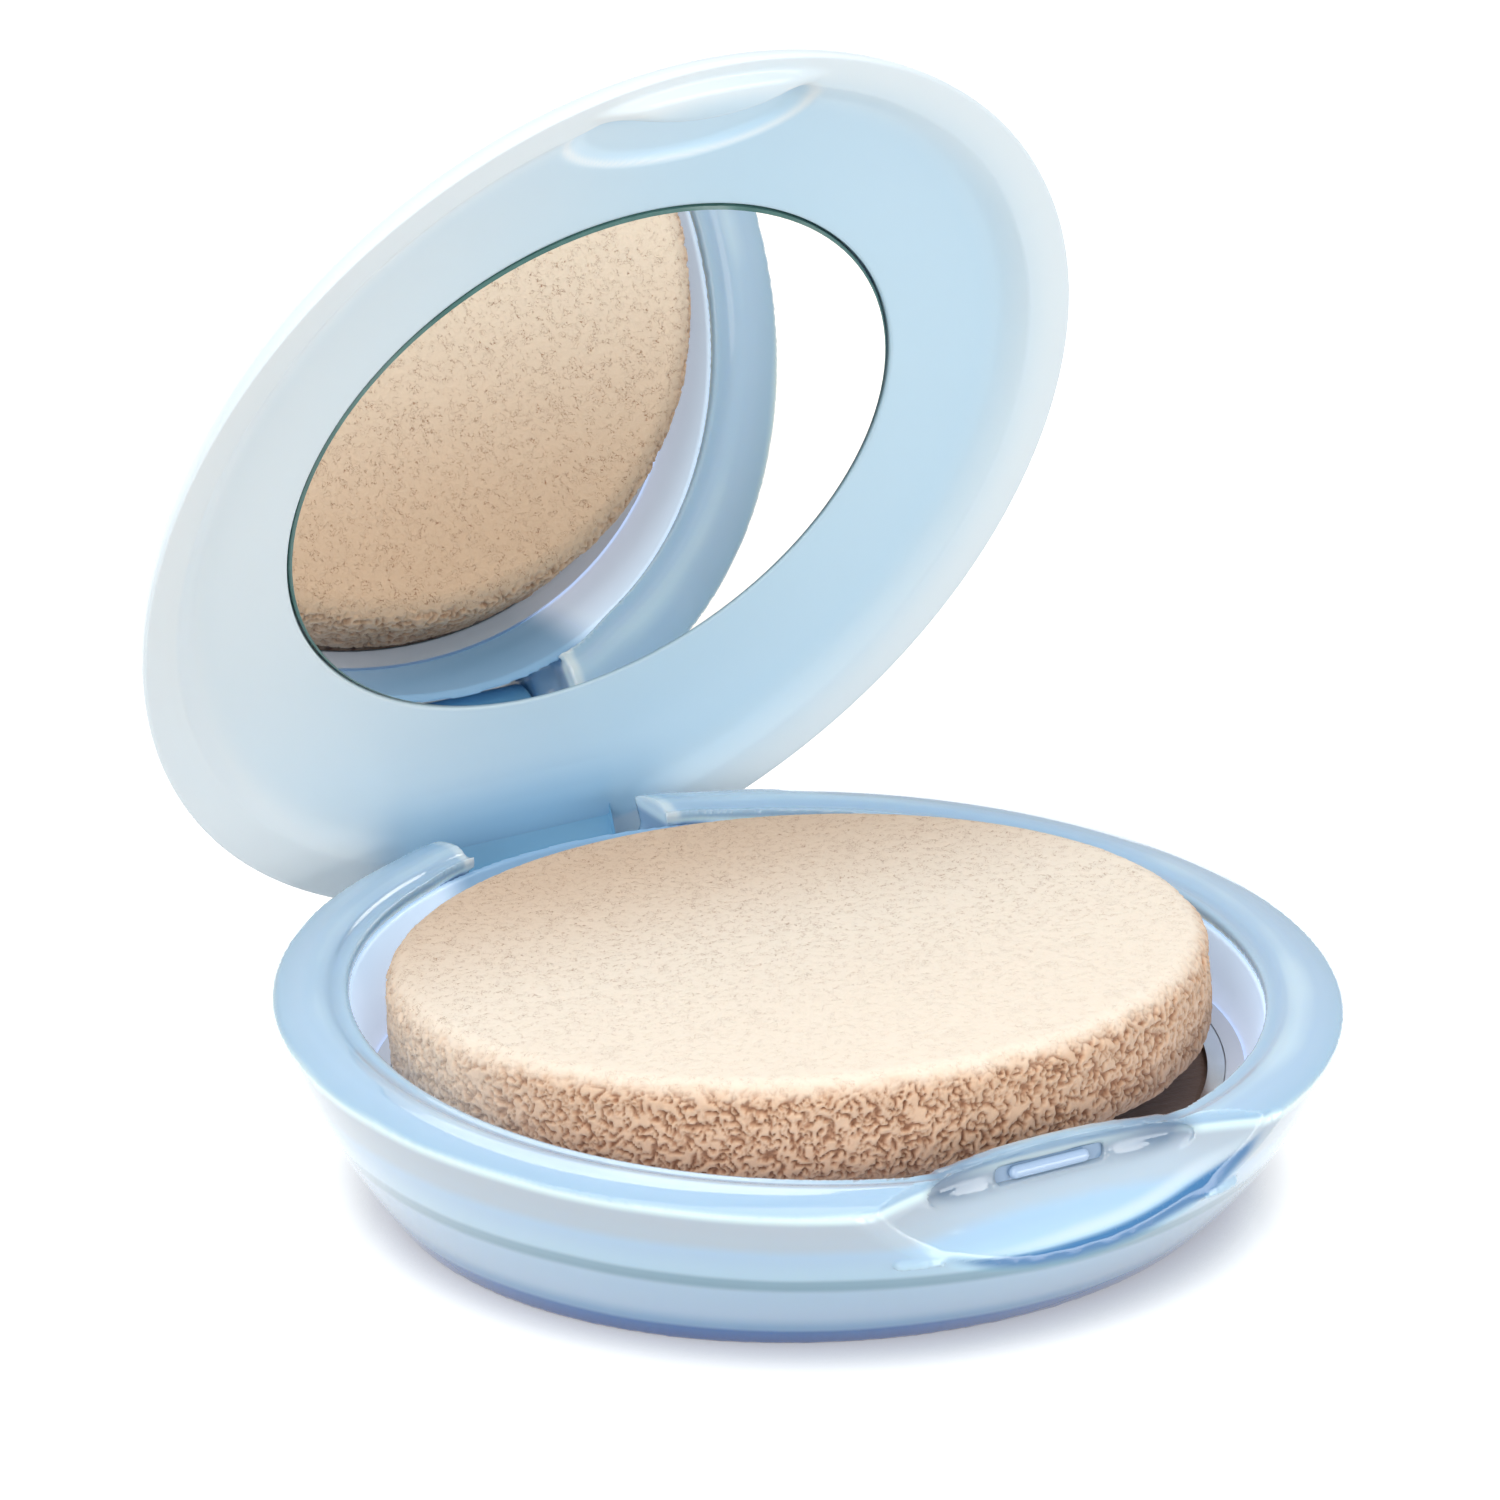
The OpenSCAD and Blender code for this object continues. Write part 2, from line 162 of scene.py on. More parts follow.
def paint(ob, name, values):
    """Keeps one value per point for the material to read."""
    layer = ob.data.attributes.new(name, "FLOAT", "POINT")
    layer.data.foreach_set("value", np.asarray(values, dtype=np.float32))


def read_points(mesh):
    """The mesh's points as rows of X, Y and Z."""
    out = np.empty(len(mesh.vertices) * 3)
    mesh.vertices.foreach_get("co", out)
    return out.reshape(-1, 3)


def write_points(mesh, points):
    """Puts rows of X, Y and Z back into the mesh."""
    mesh.vertices.foreach_set("co", points.ravel())
    mesh.update()


def remeshed(name, source, voxel, passes, material):
    """A rebuilt copy of the source's mesh with soft edges, and its points in millimetres."""
    mesh = source.data.copy()
    work = bpy.data.objects.new(name, mesh)
    scene.collection.objects.link(work)
    write_points(mesh, read_points(mesh) / MM)
    modifier = work.modifiers.new("soft", "REMESH")
    modifier.mode = "VOXEL"
    modifier.voxel_size = voxel
    modifier.adaptivity = 0
    graph = bpy.context.evaluated_depsgraph_get()
    soft = bpy.data.meshes.new_from_object(work.evaluated_get(graph))
    work.modifiers.clear()
    work.data = soft
    bpy.data.meshes.remove(mesh)
    points = relaxed(soft, read_points(soft), passes)
    soft.materials.clear()
    soft.materials.append(material)
    soft.shade_smooth()
    return work, points


def relaxed(mesh, points, passes, back=0.5):
    """Smooths the points pass by pass; back undoes the shrinking that each pass brings."""
    forward = 0.52
    edges = np.empty(len(mesh.edges) * 2, dtype=np.int64)
    mesh.edges.foreach_get("vertices", edges)
    edges = edges.reshape(-1, 2)
    ends = np.concatenate([edges[:, 0], edges[:, 1]])
    others = np.concatenate([edges[:, 1], edges[:, 0]])
    count = np.bincount(ends, minlength=len(points))[:, None]
    for k in range(2 * passes):
        near = points[others]
        mean = np.stack([np.bincount(ends, near[:, a], len(points)) for a in range(3)], axis=1) / count
        points = points + (forward if k % 2 == 0 else -back) * (mean - points)
    return points


# ---------------------------------------------------------------- materials
def srgb(r, g, b):
    """A colour given as it looks on a screen, from 0 to 255, in the linear values that shaders take."""
    def linear(c):
        c /= 255
        return c / 12.92 if c <= 0.04045 else ((c + 0.055) / 1.055) ** 2.4
    return (linear(r), linear(g), linear(b))


class Mat:
    """Short calls for building one node material."""

    def __init__(self, name):
        self.material = bpy.data.materials.new(name)
        self.material.use_nodes = True
        self.tree = self.material.node_tree
        self.tree.nodes.clear()
        self.out = self.node("ShaderNodeOutputMaterial")

    def node(self, kind):
        return self.tree.nodes.new(kind)

    def put(self, socket, value):
        if isinstance(value, bpy.types.NodeSocket):
            self.tree.links.new(value, socket)
        elif isinstance(value, tuple) and len(value) == 3 and socket.type == "RGBA":
            socket.default_value = (*value, 1)
        else:
            socket.default_value = value

    def coords(self, scale=(1, 1, 1), turn=(0, 0, 0)):
        place = self.node("ShaderNodeTexCoord")
        mapping = self.node("ShaderNodeMapping")
        mapping.inputs["Scale"].default_value = scale
        mapping.inputs["Rotation"].default_value = turn
        self.put(mapping.inputs["Vector"], place.outputs["Object"])
        return mapping.outputs["Vector"]

    def axis(self, vector, name):
        split = self.node("ShaderNodeSeparateXYZ")
        self.put(split.inputs[0], vector)
        return split.outputs[name]

    def noise(self, vector, scale, detail=3.0, rough=0.5):
        texture = self.node("ShaderNodeTexNoise")
        texture.inputs["Scale"].default_value = scale
        texture.inputs["Detail"].default_value = detail
        texture.inputs["Roughness"].default_value = rough
        self.put(texture.inputs["Vector"], vector)
        return texture.outputs["Fac"]

    def ramp(self, value, stops, mode="LINEAR"):
        node = self.node("ShaderNodeValToRGB")
        node.color_ramp.interpolation = mode
        elements = node.color_ramp.elements
        while len(elements) < len(stops):
            elements.new(0.5)
        for element, (place, color) in zip(elements, stops):
            element.position = place
            element.color = (*color, 1)
        self.put(node.inputs["Fac"], value)
        return node.outputs["Color"]

    def mix(self, share, a, b, mode="MIX"):
        node = self.node("ShaderNodeMix")
        node.data_type = "RGBA"
        node.blend_type = mode
        self.put(node.inputs[0], share)
        self.put(node.inputs[6], a)
        self.put(node.inputs[7], b)
        return node.outputs[2]

    def math(self, operation, a, b=0.0):
        node = self.node("ShaderNodeMath")
        node.operation = operation
        self.put(node.inputs[0], a)
        self.put(node.inputs[1], b)
        return node.outputs[0]

    def span(self, value, low, high, out_low=0.0, out_high=1.0):
        node = self.node("ShaderNodeMapRange")
        node.interpolation_type = "SMOOTHSTEP"
        for socket, number in zip(node.inputs, (value, low, high, out_low, out_high)):
            self.put(socket, number)
        return node.outputs[0]

    def bump(self, height, strength, distance):
        node = self.node("ShaderNodeBump")
        node.inputs["Strength"].default_value = strength
        node.inputs["Distance"].default_value = distance
        self.put(node.inputs["Height"], height)
        return node.outputs["Normal"]

    def attribute(self, name):
        node = self.node("ShaderNodeAttribute")
        node.attribute_name = name
        return node.outputs["Fac"]

    def surface(self, color, rough, normal=None, **values):
        shader = self.node("ShaderNodeBsdfPrincipled")
        self.put(shader.inputs["Base Color"], color)
        self.put(shader.inputs["Roughness"], rough)
        if normal is not None:
            self.put(shader.inputs["Normal"], normal)
        for key, value in values.items():
            self.put(shader.inputs[key.replace("_", " ")], value)
        self.tree.links.new(shader.outputs[0], self.out.inputs["Surface"])
        return shader


def base_plastic():
    """Clear blue plastic whose tint, painted in bands by height, follows the cup and the foot seen through
    the wall, with a painted highlight just below the rim.
    """
    m = Mat("base_plastic")
    place = m.coords()
    wave = m.math("MULTIPLY", m.math("SUBTRACT", m.noise(place, 45, 2), 0.5), 0.0008)
    height = m.math("DIVIDE", m.math("ADD", m.axis(place, "Z"), wave), (PARTING + 1) * MM)
    color = m.ramp(height, [
        (0.0, srgb(0, 92, 176)),
        (0.1, srgb(4, 114, 192)),
        (0.135, srgb(142, 190, 226)),
        (0.24, srgb(192, 220, 242)),
        (0.42, srgb(180, 212, 236)),
        (0.465, srgb(124, 168, 190)),
        (0.5, srgb(130, 174, 196)),
        (0.54, srgb(186, 222, 242)),
        (0.68, srgb(180, 214, 240)),
        (0.76, srgb(188, 206, 220)),
        (0.88, srgb(188, 202, 214)),
        # A painted highlight band just below the rim.
        (0.925, srgb(226, 248, 250)),
        (0.95, srgb(164, 196, 222)),
        (0.985, srgb(172, 202, 228)),
        (1.0, srgb(196, 222, 238))], "EASE")
    # Painted darker blue: refraction at the scoop's lower edge, and painted shade on the notch's sides.
    refraction_shade = m.attribute("refraction_shade")
    color = m.mix(refraction_shade, color, srgb(66, 126, 178))
    # A painted highlight: the streak beside the crescent and the rim's cut ends.
    color = m.mix(m.attribute("painted_highlight"), color, srgb(226, 240, 248))
    # Painted shade in the catch panel's recess.
    color = m.mix(m.attribute("recess_shade"), color, srgb(120, 144, 168))
    rough = m.math("ADD", m.math("MULTIPLY", m.noise(place, 700, 2), 0.05), 0.07)
    shader = m.surface(color, rough, Subsurface_Weight=0.35, Subsurface_Scale=0.003, IOR=1.49,
                       Coat_Weight=0.6, Coat_Roughness=0.03)
    shader.inputs["Subsurface Radius"].default_value = (0.5, 0.8, 1.0)
    return m.material


def lid_plastic():
    """Milky pearl plastic with painted light: it glows at its narrow edge where light comes through, along
    the thumb recess's outline and over its left side.
    """
    m = Mat("lid_plastic")
    place = m.coords()
    cloud = m.noise(place, 40, 2)
    painted_light = m.attribute("painted_light")
    body = m.mix(m.math("MULTIPLY", cloud, 0.3), srgb(200, 231, 250), srgb(192, 225, 246))
    color = m.mix(painted_light, body, srgb(238, 248, 253))
    color = m.mix(m.attribute("shade"), color, srgb(132, 188, 222))
    rough = m.math("ADD", m.math("MULTIPLY", m.noise(place, 300, 2), 0.04), 0.28)
    shader = m.surface(color, rough, Subsurface_Weight=0.08, Subsurface_Scale=0.002, IOR=1.47,
                       Coat_Weight=0.25, Coat_Roughness=0.15)
    shader.inputs["Subsurface Radius"].default_value = (0.6, 0.85, 1.0)
    return m.material


def liner_silver():
    """Silver-white cup, blue at the lip by the hinge, with a slight glow for light through the wall."""
    m = Mat("liner_silver")
    place = m.coords()
    height = m.math("DIVIDE", m.axis(place, "Z"), LINER_TOP * MM)
    color = m.ramp(height, [
        (0.3, srgb(196, 214, 238)),
        (0.62, srgb(210, 226, 250)),
        (1.0, srgb(200, 226, 252))])
    color = m.mix(m.attribute("blue"), color, srgb(92, 140, 176))
    shade = m.mix(m.math("MULTIPLY", m.noise(place, 60, 3), 0.25), color, srgb(206, 214, 236))
    shader = m.surface(shade, 0.3, Coat_Weight=0.35, Coat_Roughness=0.1, Emission_Strength=0.52)
    m.put(shader.inputs["Emission Color"], shade)
    return m.material


def tray_satin():
    """Satin pearl plastic of the refill tray."""
    m = Mat("tray_satin")
    place = m.coords()
    color = m.mix(m.noise(place, 80, 3), srgb(206, 214, 228), srgb(226, 230, 240))
    m.surface(color, 0.3, Coat_Weight=0.3)
    return m.material


def pan_metal():
    """Bright pressed sheet metal."""
    m = Mat("pan_metal")
    color = m.mix(m.noise(m.coords(), 300, 4), srgb(205, 207, 212), srgb(232, 233, 238))
    m.surface(color, 0.22, Metallic=1.0)
    return m.material


def pin_steel():
    """Drawn steel wire, streaked along its length."""
    m = Mat("pin_steel")
    color = m.mix(m.noise(m.coords((1, 40, 40)), 60, 3), srgb(176, 178, 182), srgb(206, 208, 212))
    m.surface(color, 0.3, Metallic=1.0)
    return m.material


def pressed_powder():
    """Fine powder with the brushed streaks that a sponge leaves."""
    m = Mat("pressed_powder")
    streak = m.noise(m.coords((1, 6, 1), (0, 0, 0.5)), 260, 5, 0.6)
    grain = m.noise(m.coords(), 2600, 3)
    color = m.mix(streak, srgb(118, 94, 84), srgb(158, 130, 116))
    height = m.math("ADD", grain, m.math("MULTIPLY", streak, 1.5))
    m.surface(color, 0.85, m.bump(height, 0.4, 0.0002), Sheen_Weight=0.15)
    return m.material


def catch_plastic():
    """The rounded bar is paler than the plate that it stands on."""
    m = Mat("catch_plastic")
    place = m.coords()
    bar = m.span(m.axis(place, "Y"), CATCH_FACE * MM, (CATCH_FACE - 0.1) * MM)
    tint = m.mix(m.noise(place, 200, 2), srgb(172, 198, 230), srgb(184, 208, 236))
    color = m.mix(bar, srgb(142, 170, 200), tint)
    m.surface(color, 0.18, Coat_Weight=0.5)
    return m.material


def pad_foam():
    """Dark adhesive foam."""
    m = Mat("pad_foam")
    color = m.mix(m.noise(m.coords(), 900, 2), (0.16, 0.165, 0.17), (0.2, 0.2, 0.21))
    m.surface(color, 0.8)
    return m.material


def mirror_silver():
    """Silvered face, with the green of cut glass on the rim that faces sideways."""
    m = Mat("mirror_silver")
    geometry = m.node("ShaderNodeNewGeometry")
    dot = m.node("ShaderNodeVectorMath")
    dot.operation = "DOT_PRODUCT"
    m.put(dot.inputs[0], geometry.outputs["True Normal"])
    dot.inputs[1].default_value = (0, -math.sin(LID_ANGLE), -math.cos(LID_ANGLE))
    face = m.math("GREATER_THAN", dot.outputs["Value"], 0.95)
    tint = m.noise(m.coords(), 500, 2)
    glass = m.mix(tint, srgb(64, 104, 100), srgb(98, 140, 134))
    color = m.mix(face, glass, srgb(250, 246, 240))
    rough = m.span(face, 0.0, 1.0, 0.12, 0.012)
    m.surface(color, rough, Metallic=face)
    return m.material


def sponge_foam():
    """Cream foam: short dark flecks on the cut face, tan pits in the porous sides; painted shade darkens the
    pits, the back of the cut face and the bottom of the sides, and painted light fades the torn look on one
    side.
    """
    m = Mat("sponge_foam")
    place = m.coords()
    side = m.attribute("side")
    pit_shade = m.attribute("pit_shade")
    worm = m.math("ABSOLUTE", m.math("SUBTRACT", m.noise(place, 3600, 1, 0.5), 0.5))
    # Flecks are sparse at the front and dense at the back, and the cut face turns tan towards its back:
    # painted shade under the lid.
    spread = m.math("MULTIPLY", m.span(m.noise(place, 1500, 1), 0.44, 0.64),
                    m.span(m.axis(place, "Y"), -0.02, 0.015, 0.25, 1.0))
    fleck = m.math("MULTIPLY", m.span(worm, 0.03, 0.0), spread)
    grain = m.noise(place, 3200, 2)
    face = m.mix(m.span(m.axis(place, "Y"), 0.0, 0.028), srgb(240, 227, 210), srgb(216, 186, 158))
    cut = m.mix(m.math("MULTIPLY", fleck, 1.0), face, srgb(168, 108, 68))
    cut = m.mix(m.math("MULTIPLY", grain, 0.25), cut, srgb(238, 219, 197))
    # The pits get painted shade: the further into a pit, the darker its tan.
    torn = m.ramp(pit_shade, [(0.0, srgb(226, 190, 160)), (0.35, srgb(206, 162, 130)),
                         (0.7, srgb(178, 126, 92)), (1.0, srgb(150, 98, 66))])
    torn = m.mix(m.math("MULTIPLY", grain, 0.25), torn, srgb(248, 224, 194))
    # The torn sides darken towards the bottom: painted shade.
    low = m.span(m.axis(place, "Z"), 16.5 * MM, 10.5 * MM, 0.1, 0.65)
    torn = m.mix(low, torn, m.mix(1.0, torn, srgb(190, 160, 142), "MULTIPLY"))
    color = m.mix(side, cut, torn)
    height = m.math("SUBTRACT", m.math("MULTIPLY", grain, 0.5), m.math("MULTIPLY", fleck, 1.4))
    shader = m.surface(color, 0.95, m.bump(height, 0.6, 0.0002),
                       Subsurface_Weight=0.12, Subsurface_Scale=0.0012, Sheen_Weight=0.1)
    shader.inputs["Subsurface Radius"].default_value = (1.0, 0.7, 0.5)
    return m.material


BASE_PLASTIC = base_plastic()
LID_PLASTIC = lid_plastic()
LINER_SILVER = liner_silver()
FOAM = sponge_foam()
for name, material in {
    "base_shell": BASE_PLASTIC, "base_liner": LINER_SILVER, "catch_clip": catch_plastic(),
    "refill_tray": tray_satin(), "powder_pan": pan_metal(), "powder_cake": pressed_powder(),
    "hinge_pin_left": pin_steel(), "hinge_pin_right": pin_steel(), "lid_shell": LID_PLASTIC,
    "lid_frame": LID_PLASTIC, "mirror_pad": pad_foam(), "mirror_glass": mirror_silver(), "sponge": FOAM,
}.items():
    nodes[name].data.materials.clear()
    nodes[name].data.materials.append(material)


# ---------------------------------------------------------------- base
def pull(points, target, weight):
    """Moves points towards the target by their weights."""
    return points + (target - points) * weight[:, None]


def closeness(distance):
    """1 near a surface, fading to 0 at a third of a millimetre."""
    return 1 - smooth(0.14, 0.34, np.abs(distance))


def wall_share(points):
    """How far out points lie, where 1 is on the smooth outer wall that swells from the foot to the rim."""
    t = np.clip(points[:, 2] / PARTING, 0, 1)
    w = t + WALL_BULGE * t * (1 - t)
    half_width = FOOT_RADIUS + (RIM_HALF_WIDTH - FOOT_RADIUS) * w
    half_depth = FOOT_RADIUS + (RIM_HALF_DEPTH - FOOT_RADIUS) * w
    return np.hypot(points[:, 0] / half_width, points[:, 1] / half_depth)


def wall_depth(points):
    """How far points lie inside the smooth outer wall, in millimetres."""
    return (1 - wall_share(points)) * np.hypot(points[:, 0], points[:, 1])


def scoop_reach(points):
    """0 on the scoop's round hollow, as a share of its size."""
    return np.linalg.norm((points - SCOOP_CENTRE) / SCOOP_HALF, axis=1) - 1


def onto_wall(points):
    """Draws points that lie on the outer wall onto its smooth form."""
    q = np.maximum(wall_share(points), 0.01)
    away = (q - 1) * np.hypot(points[:, 0], points[:, 1])
    inside = smooth(0.1, 0.4, points[:, 2]) * (1 - smooth(13.5, 13.8, points[:, 2]))
    target = points.copy()
    target[:, :2] /= q[:, None]
    return pull(points, target, closeness(away) * inside)


def onto_ellipsoid(points, centre, half):
    """Draws points that lie on an ellipsoid's hollow, inside the wall, onto its smooth form."""
    local = (points - centre) / half
    q = np.maximum(np.linalg.norm(local, axis=1), 0.01)
    target = centre + local / q[:, None] * half
    inside = smooth(0.1, 0.5, wall_depth(points))
    return pull(points, target, closeness(np.linalg.norm(points - target, axis=1)) * inside)


def crest_height(s):
    """Height of the rim band at a distance s from the centre, measured along X."""
    inward = RIM_HALF_WIDTH - np.array((0, 0.25, 1.1, 2.2, 3.2, 3.9, 4.4, 4.8, 5.2, 5.6, RIM_BAND))
    rise = CREST_RISE * np.array((0, 0.16, 0.5, 0.84, 1, 0.93, 0.6, 0.55, 0.7, 0.62, 0.3))
    fine = np.linspace(inward[-1], inward[0], 400)
    curve = np.interp(fine, inward[::-1], rise[::-1])
    bell = np.exp(-np.linspace(-2, 2, 41) ** 2)
    soft = np.convolve(np.pad(curve, 20, mode="edge"), bell / bell.sum(), mode="valid")
    return PARTING + np.interp(s, fine, soft)


def onto_crest(points):
    """Draws points of the rim band onto its crowned profile."""
    s = np.hypot(points[:, 0], points[:, 1] / RIM_RATIO)
    target = points.copy()
    target[:, 2] = crest_height(s)
    band = smooth(32.5, 32.9, s) * (1 - smooth(37.3, 37.7, s))
    return pull(points, target, closeness(points[:, 2] - target[:, 2]) * band)


def base_moulding():
    """The base shell with its facets smoothed, its rim ends eased apart and its scoop's edges softened."""
    ob, points = remeshed("base_moulding", nodes["base_shell"], BASE_VOXEL, SOFT_PASSES, BASE_PLASTIC)
    points = onto_wall(points)
    points = onto_crest(points)
    points = eased_notch(points)
    points = onto_ellipsoid(points, SCOOP_CENTRE, SCOOP_HALF)
    points = onto_ellipsoid(points, PANEL_CENTRE, PANEL_HALF)
    softer = relaxed(ob.data, points, SEAM_PASSES, 0.0)
    points = pull(points, softer, scoop_softness(points))
    write_points(ob.data, points * MM)
    paint_base(ob, points)
    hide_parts("base_shell")
    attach(ob, "base")


def eased_notch(points):
    """Moves the rim's ends apart at the hinge."""
    x, y, z = points.T
    share = (1 - smooth(7.4, 14, np.abs(x))) * smooth(30.5, 33.5, y) * smooth(10.5, 12.3, z)
    points[:, 0] += np.sign(x) * NOTCH_EASE * share
    return points


def scoop_softness(points):
    """1 on the scoop's lower edge and round the panel, apart from the catch's pocket."""
    x, y, z = points.T
    seam = 1 - smooth(0.35, 0.9, np.abs(wall_depth(points)))
    seam *= (1 - smooth(0.03, 0.08, np.abs(scoop_reach(points)))) * smooth(-30, -31, y)
    panel = 1 - smooth(0.7, 1.1, np.hypot(x / 13, (z - 12.2) / 2.2))
    panel *= smooth(13.6, 12.9, z) * smooth(-31.5, -33.3, y)
    pocket = (np.abs(x) < POCKET_HALF_WIDTH) & (z > POCKET_FLOOR)
    return np.maximum(panel * ~pocket, seam)


def paint_base(ob, points):
    """Paints light and shade onto the base: the blue crescent darkened for refraction at the scoop's lower
    edge, the notch's sides in shade, a painted highlight in the streak beside the crescent and on the rim's
    ends, and painted shade in the catch panel's dish.
    """
    x, y, z = points.T
    hollow = 1 - smooth(0.015, 0.06, np.abs(scoop_reach(points)))
    inward = wall_depth(points)
    front = (y < -30) * smooth(-12.5, 2, x) * smooth(17, 9, x)
    width = 0.3 + 0.95 * front
    # The crescent is painted darker blue, for refraction at the scoop's thick lower edge.
    crescent = smooth(0, 0.3, front) * smooth(-0.25, 0.05, inward) * smooth(1.25, 0.85, inward / width)
    # The streak beside the crescent is a painted highlight.
    streak = front * smooth(1.1, 1.4, inward / width) * smooth(2.2, 1.6, inward / width)
    # The notch's sides get painted shade.
    notch_shade = smooth(16, 11, np.abs(x)) * smooth(33.5, 35, y) * smooth(14.2, 13.2, z)
    # The rim's cut ends get a painted highlight.
    rim_end_highlight = smooth(9.6, 9.0, np.abs(x)) * smooth(34, 35, y) * smooth(13.2, 13.8, z)
    # The catch panel's recess gets painted shade, strongest towards its top.
    dish = smooth(1.0, 0.8, np.hypot(x / 11.8, (z - 14) / 2.9)) * smooth(11.6, 13.4, z)
    dish *= (0.5 + 0.5 * smooth(3, 9, np.abs(x))) * smooth(-33.6, -34.1, y)
    paint(ob, "refraction_shade", np.maximum(hollow * crescent, 0.45 * notch_shade))
    paint(ob, "painted_highlight", np.maximum(0.6 * hollow * streak, 0.8 * rim_end_highlight))
    paint(ob, "recess_shade", dish)


base_moulding()


def onto_cup(points, grow):
    """Draws points near the cup's side onto a form that goes smoothly from round to oval."""
    t = np.clip((points[:, 2] - PAN_HEIGHT) / (LINER_TOP - PAN_HEIGHT), 0, 1)
    top_width, top_depth = RIM_HALF_WIDTH - RIM_BAND - 0.1, RIM_HALF_DEPTH - RIM_BAND - 0.1
    half_width = WELL_RADIUS + (top_width - WELL_RADIUS) * t + grow
    half_depth = WELL_RADIUS + (top_depth - WELL_RADIUS) * t + grow
    q = np.maximum(np.hypot(points[:, 0] / half_width, points[:, 1] / half_depth), 0.01)
    away = (q - 1) * np.hypot(points[:, 0], points[:, 1])
    inside = smooth(PAN_HEIGHT, PAN_HEIGHT + 0.3, points[:, 2]) * (1 - smooth(13.2, 13.4, points[:, 2]))
    target = points.copy()
    target[:, :2] /= q[:, None]
    return pull(points, target, closeness(away) * inside)


def silver_cup():
    """The inner cup with its facets smoothed."""
    ob, points = remeshed("silver_cup", nodes["base_liner"], CUP_VOXEL, SOFT_PASSES, LINER_SILVER)
    points = onto_cup(points, 0)
    points = onto_cup(points, LINER_WALL)
    write_points(ob.data, points * MM)
    paint(ob, "blue", smooth(13, 9, np.abs(points[:, 0])) * smooth(24, 29, points[:, 1]))
    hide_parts("base_liner")
    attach(ob, "base")


silver_cup()


# ---------------------------------------------------------------- lid
# The thumb recess, the lip that hooks the catch, and the relief that clears the rim as the lid swings.
LENS_CENTRE = -35.3
LENS_HALF_WIDTH = 10.3
LENS_HALF_DEPTH = 5.0
TONGUE_CENTRE = -39.4
TONGUE_HALF_WIDTH = 10.0
TONGUE_REACH = 3.2
TONGUE_DROP = 1.1
RELIEF_RADIUS = 7.55
RELIEF_HALF_WIDTH = 16.0
LID_COLUMNS = 720
SEAT_EDGE = 0.15


def dome_height(x, y, wall):
    """Height of the lid's dome, a wall's thickness inside its outer face."""
    inside = (x / (RIM_HALF_WIDTH - wall)) ** 2 + (y / (RIM_HALF_DEPTH - wall)) ** 2
    return LID_EDGE + (LID_RISE - wall) * np.sqrt(np.maximum(1 - inside, 0))


def inner_height(x, y):
    """Height of the closed lid's lower face: flange, dish, thumb recess, lip and hinge channel."""
    s = np.hypot(x, y / RIM_RATIO)
    flange = LID_EDGE + (RIM_HALF_WIDTH - s) * 0.26
    dish = DISH_START + DISH_RISE * np.sqrt(np.maximum(1 - (s / DISH_RADIUS) ** 2, 0))
    height = flange + (dish - flange) * (1 - smooth(33.0, 36.0, s))
    # The thumb recess goes no deeper than the lid's own wall allows.
    roof = dome_height(x, y, LID_WALL)
    lens = lens_distance(x, y)
    hollow = np.maximum(np.minimum(roof, height + 0.7), height)
    height = height + (hollow - height) * (1 - smooth(0.8, 1.04, lens))
    tongue = np.hypot(x / TONGUE_HALF_WIDTH, (y - TONGUE_CENTRE) / TONGUE_REACH)
    lip = LID_EDGE + 0.4 - TONGUE_DROP * np.sqrt(np.maximum(1 - tongue ** 2, 0))
    drop = (1 - smooth(0.5, 1.15, tongue)) * smooth(36.9, 36.2, s)
    height = height + (np.minimum(lip, height) - height) * drop
    relief = HINGE[2] + np.sqrt(np.maximum(RELIEF_RADIUS ** 2 - (y - HINGE[1]) ** 2, 0))
    relief = np.where(np.abs(x) < RELIEF_HALF_WIDTH, relief, 0) * (y > 0)
    height = np.maximum(height, relief - smooth(11, RELIEF_HALF_WIDTH, np.abs(x)))
    # The channel runs down to the hinge, so that the dish flows into the knuckle.
    channel = (1 - smooth(KNUCKLE_FLARE - 0.6, 11.2, np.abs(x))) * smooth(27, 33, y)
    channel_along = (27, 30, 32, 34, 35.5, 36.7, 37.3)
    channel_height = np.interp(y, channel_along, (17.6, 17.36, 17.05, 16.5, 15.95, 15.4, 15.25))
    return height + (channel_height - height) * channel


def hinge_shade(x, y):
    """How far a point of the lid lies in the fold above the hinge."""
    return 0.7 * smooth(15, 8.5, np.abs(x)) * smooth(30, 37, y)


def lens_distance(x, y):
    """1 on the outline of the thumb recess and less inside it."""
    return np.hypot(x / LENS_HALF_WIDTH, (y - LENS_CENTRE) / LENS_HALF_DEPTH)


def lid_paint(x, y, z):
    """Painted light and shade of the lid: the glow of its narrow edge, a painted highlight on the thumb
    recess's outline and a lighter left side, and how far it lies in shade; the dome takes only the edge's
    glow.
    """
    s = np.hypot(x, y / RIM_RATIO)
    inner = smooth(0.2, 0.5, dome_height(x, y, 0) - z)
    lens = lens_distance(x, y)
    outline_highlight = np.exp(-((lens - 0.97) / 0.04) ** 2) * (y > -39)
    pool = 1 - smooth(0.6, 1.0, lens)
    # Painted light: the left side is lighter, as light falls on it from there.
    left = 0.8 * smooth(10, -34, x)
    painted_light = 0.85 * smooth(31.5, 37.5, s) * (1 - 0.7 * pool * inner) + (0.8 * outline_highlight + 0.1 * pool + left) * inner
    band = np.exp(-((y + 36.6) / 1.1) ** 2) * (1 - smooth(0.7, 1.0, lens))
    shade = inner * np.clip(0.5 * band + hinge_shade(x, y), 0, 1)
    return np.clip(painted_light, 0, 1), shade


